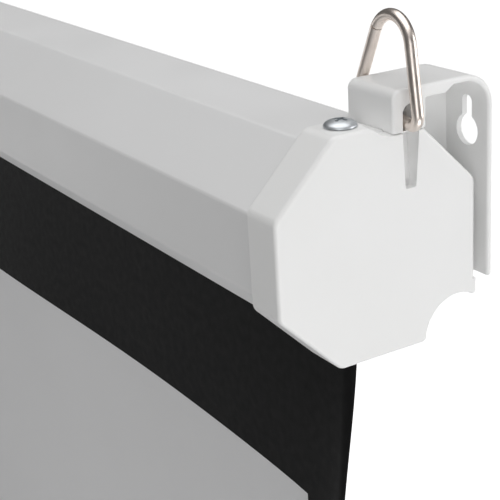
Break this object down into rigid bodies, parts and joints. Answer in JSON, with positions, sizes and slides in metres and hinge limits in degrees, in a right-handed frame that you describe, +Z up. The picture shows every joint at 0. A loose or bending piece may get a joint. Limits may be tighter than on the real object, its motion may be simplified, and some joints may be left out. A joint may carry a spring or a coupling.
{
  "type": "pull-down projection screen",
  "caption": "Spring-roller projection screen with a folded octagonal case, moulded end caps, wall brackets, wire hanging rings, pull-down sheet and weighted bar.",
  "frame": {"origin": "on the wall plane, midway between the brackets, at the height of the wall screws the keyholes hang on", "axes": "+X along the case to the right as seen from the room, +Y into the wall, +Z up"},
  "size_m": [1.7486, 0.081, 1.4967],
  "materials": {
    "white_plastic": "satin white moulding",
    "white_paint": "satin white powder coat",
    "black_plastic": "matt black moulding",
    "nickel": "bright nickel plate",
    "zinc": "bright zinc plate",
    "steel": "plain steel",
    "nylon": "natural nylon",
    "hardwood": "plain turned hardwood",
    "rubber": "black rubber",
    "sheet_white": "matt white coated sheet with a black border",
    "sheet_black": "black coated sheet"
  },
  "bodies": {
    "case": {"casing_shell": "white_paint", "end_cap_right": "white_plastic", "end_cap_left": "white_plastic", "cap_screw_right": "zinc", "cap_screw_left": "zinc", "wall_bracket_right": "white_plastic", "wall_bracket_left": "white_plastic", "gudgeon_bush": "nylon", "spear_pin": "steel", "spring_arbor": "hardwood", "torsion_spring": "steel", "ratchet_disc": "steel", "screen_sheet": "sheet_white"},
    "ring_right": {"hanging_ring_right": "nickel"},
    "ring_left": {"hanging_ring_left": "nickel"},
    "roller": {"roller_tube": "zinc", "roller_head": "steel", "roller_plug": "nylon", "gudgeon_pin": "steel", "arbor_bearing": "nylon", "pawl_pivot_upper": "steel", "pawl_pivot_lower": "steel", "sheet_wrap": "sheet_black"},
    "lock_pawl_upper": {"pawl_upper": "steel"},
    "lock_pawl_lower": {"pawl_lower": "steel"},
    "drop": {"hem_pocket": "sheet_black", "hem_rod": "nylon", "bottom_bar": "white_paint", "bar_cap_right": "black_plastic", "bar_cap_left": "black_plastic", "bar_buffer_right": "rubber", "bar_buffer_left": "rubber", "handle_clip": "black_plastic", "clip_screw_right": "zinc", "clip_screw_left": "zinc"},
    "handle": {"pull_handle": "black_plastic"}
  },
  "joints": [
    {"name": "screen_drop", "type": "slide", "parent": "case", "child": "drop", "axis": [0, 0, 1], "range_m": [0, 1.3302], "deforming": ["screen_sheet"]},
    {"name": "roller_spin", "type": "hinge", "parent": "case", "child": "roller", "pos_m": [0, -0.05, -0.034], "axis": [1, 0, 0], "range_deg": [0, 4501]},
    {"name": "pawl_upper_swing", "type": "hinge", "parent": "roller", "child": "lock_pawl_upper", "pos_m": [0.853, -0.0405, -0.0285], "axis": [1, 0, 0], "range_deg": [-15, 14]},
    {"name": "pawl_lower_swing", "type": "hinge", "parent": "roller", "child": "lock_pawl_lower", "pos_m": [0.853, -0.0595, -0.0395], "axis": [1, 0, 0], "range_deg": [-15, 14]},
    {"name": "ring_right_swing", "type": "hinge", "parent": "case", "child": "ring_right", "pos_m": [0.8564, -0.0319, 0.00147], "axis": [0.9932, -0.066, -0.0958], "range_deg": [-17, 75]},
    {"name": "ring_left_swing", "type": "hinge", "parent": "case", "child": "ring_left", "pos_m": [-0.8564, -0.0319, 0.00147], "axis": [0.9932, 0.066, 0.0958], "range_deg": [-17, 75]},
    {"name": "handle_swing", "type": "hinge", "parent": "drop", "child": "handle", "pos_m": [0, -0.03567, -1.4275], "axis": [1, 0, 0], "range_deg": [-80, 80]}
  ],
  "couplings": [
    {"joint": "roller_spin", "follows": "screen_drop", "rad_per_m": 59.044}
  ]
}
